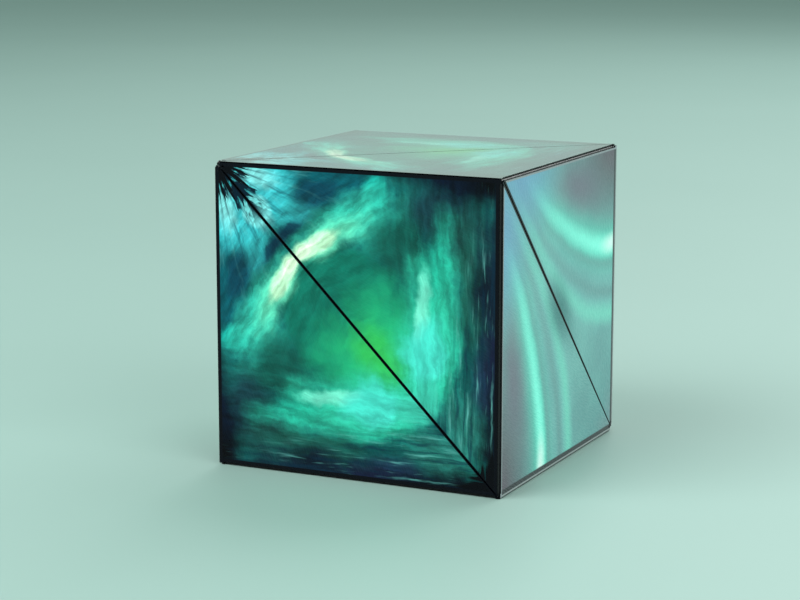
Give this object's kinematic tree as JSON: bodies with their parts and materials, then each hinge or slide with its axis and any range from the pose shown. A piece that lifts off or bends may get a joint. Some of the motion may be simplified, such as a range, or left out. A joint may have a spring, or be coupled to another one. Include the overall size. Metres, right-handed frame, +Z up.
{
  "type": "shape-shifting magnetic cube",
  "caption": "Puzzle cube made of a ring of hinged tetrahedral segments with magnets inside and a glossy printed film outside, which opens out from one corner.",
  "frame": {"origin": "middle of the bottom face of the closed cube", "axes": "+Z up, +X right and -Y towards the front face, whose seam runs from its upper left to its lower right corner"},
  "size_m": [0.057, 0.057, 0.057],
  "materials": {
    "shell_plastic": "moulded black ABS, fine satin grain",
    "lid_plastic": "moulded dark grey ABS",
    "magnet_nickel": "nickel-plated disc magnets",
    "printed_film_a": "glossy film printed with a teal and green nebula",
    "printed_film_b": "glossy film printed with a teal and violet nebula",
    "hinge_film": "thin black film, satin"
  },
  "bodies": {
    "segment_01": {"shell_01": "shell_plastic", "lid_01": "lid_plastic", "magnets_01": "magnet_nickel", "wrap_01": "printed_film_a", "hinge_film_01": "hinge_film"},
    "segment_02": {"shell_02": "shell_plastic", "lid_02": "lid_plastic", "magnets_02": "magnet_nickel", "wrap_02": "printed_film_b", "hinge_film_02": "hinge_film"},
    "segment_03": {"shell_03": "shell_plastic", "lid_03": "lid_plastic", "magnets_03": "magnet_nickel", "wrap_03": "printed_film_b", "hinge_film_03": "hinge_film"},
    "segment_04": {"shell_04": "shell_plastic", "lid_04": "lid_plastic", "magnets_04": "magnet_nickel", "wrap_04": "printed_film_a", "hinge_film_04": "hinge_film"},
    "segment_05": {"shell_05": "shell_plastic", "lid_05": "lid_plastic", "magnets_05": "magnet_nickel", "wrap_05": "printed_film_a", "hinge_film_05": "hinge_film"},
    "segment_06": {"shell_06": "shell_plastic", "lid_06": "lid_plastic", "magnets_06": "magnet_nickel", "wrap_06": "printed_film_b", "hinge_film_06": "hinge_film"},
    "segment_07": {"shell_07": "shell_plastic", "lid_07": "lid_plastic", "magnets_07": "magnet_nickel", "wrap_07": "printed_film_b", "hinge_film_07": "hinge_film"},
    "segment_08": {"shell_08": "shell_plastic", "lid_08": "lid_plastic", "magnets_08": "magnet_nickel", "wrap_08": "printed_film_a", "hinge_film_08": "hinge_film"},
    "segment_09": {"shell_09": "shell_plastic", "lid_09": "lid_plastic", "magnets_09": "magnet_nickel", "wrap_09": "printed_film_a", "hinge_film_09": "hinge_film"},
    "segment_10": {"shell_10": "shell_plastic", "lid_10": "lid_plastic", "magnets_10": "magnet_nickel", "wrap_10": "printed_film_b", "hinge_film_10": "hinge_film"},
    "segment_11": {"shell_11": "shell_plastic", "lid_11": "lid_plastic", "magnets_11": "magnet_nickel", "wrap_11": "printed_film_b", "hinge_film_11": "hinge_film"},
    "segment_12": {"shell_12": "shell_plastic", "lid_12": "lid_plastic", "magnets_12": "magnet_nickel", "wrap_12": "printed_film_a", "hinge_film_12": "hinge_film"}
  },
  "joints": [
    {"name": "edge_hinge_12", "type": "hinge", "parent": "segment_01", "child": "segment_12", "pos_m": [-0.0281, 0, 0.0004], "axis": [0, -1, 0], "range_deg": [0, 54], "deforming": ["hinge_film_12"]},
    {"name": "spine_hinge_01", "type": "hinge", "parent": "segment_01", "child": "segment_02", "pos_m": [0.01399, 0.01399, 0.01373], "axis": [-0.5774, -0.5774, 0.5774], "range_deg": [0, 8.11], "deforming": ["hinge_film_01"]},
    {"name": "edge_hinge_02", "type": "hinge", "parent": "segment_02", "child": "segment_03", "pos_m": [0, -0.0281, 0.0004], "axis": [1, 0, 0], "range_deg": [0, 54.01], "deforming": ["hinge_film_02"]},
    {"name": "spine_hinge_03", "type": "hinge", "parent": "segment_03", "child": "segment_04", "pos_m": [-0.01399, -0.01477, 0.04249], "axis": [-0.5774, -0.5774, 0.5774], "range_deg": [0, 64.77], "deforming": ["hinge_film_03"]},
    {"name": "edge_hinge_04", "type": "hinge", "parent": "segment_04", "child": "segment_05", "pos_m": [0.0281, -0.0281, 0.0285], "axis": [0, 0, -1], "range_deg": [0, 46.81], "deforming": ["hinge_film_04"]},
    {"name": "spine_hinge_05", "type": "hinge", "parent": "segment_05", "child": "segment_06", "pos_m": [0.01477, 0.01399, 0.01451], "axis": [-0.5774, -0.5774, 0.5774], "range_deg": [0, 8.11], "deforming": ["hinge_film_05"]},
    {"name": "edge_hinge_06", "type": "hinge", "parent": "segment_06", "child": "segment_07", "pos_m": [0.0281, 0, 0.0566], "axis": [0, 1, 0], "range_deg": [0, 49.46], "deforming": ["hinge_film_06"]},
    {"name": "spine_hinge_11", "type": "hinge", "parent": "segment_12", "child": "segment_11", "pos_m": [-0.01477, -0.01399, 0.04249], "axis": [0.5774, 0.5774, -0.5774], "range_deg": [0, 64.77], "deforming": ["hinge_film_11"]},
    {"name": "edge_hinge_10", "type": "hinge", "parent": "segment_11", "child": "segment_10", "pos_m": [-0.0281, 0.0281, 0.0285], "axis": [0, 0, 1], "range_deg": [0, 46.81], "deforming": ["hinge_film_10"]},
    {"name": "spine_hinge_09", "type": "hinge", "parent": "segment_10", "child": "segment_09", "pos_m": [0.01399, 0.01477, 0.01451], "axis": [0.5774, 0.5774, -0.5774], "range_deg": [0, 8.11], "deforming": ["hinge_film_09"]},
    {"name": "edge_hinge_08", "type": "hinge", "parent": "segment_09", "child": "segment_08", "pos_m": [0, 0.0281, 0.0566], "axis": [-1, 0, 0], "range_deg": [0, 49.46], "deforming": ["hinge_film_08"]}
  ],
  "couplings": [
    {"joint": "spine_hinge_01", "follows": "edge_hinge_12", "ratio": 0.15},
    {"joint": "edge_hinge_02", "follows": "edge_hinge_12", "ratio": 1},
    {"joint": "spine_hinge_03", "follows": "edge_hinge_12", "ratio": 1.1993},
    {"joint": "edge_hinge_04", "follows": "edge_hinge_12", "ratio": 0.8667},
    {"joint": "spine_hinge_05", "follows": "edge_hinge_12", "ratio": 0.15},
    {"joint": "edge_hinge_06", "follows": "edge_hinge_12", "ratio": 0.9158},
    {"joint": "spine_hinge_11", "follows": "edge_hinge_12", "ratio": 1.1993},
    {"joint": "edge_hinge_10", "follows": "edge_hinge_12", "ratio": 0.8667},
    {"joint": "spine_hinge_09", "follows": "edge_hinge_12", "ratio": 0.15},
    {"joint": "edge_hinge_08", "follows": "edge_hinge_12", "ratio": 0.9158}
  ]
}
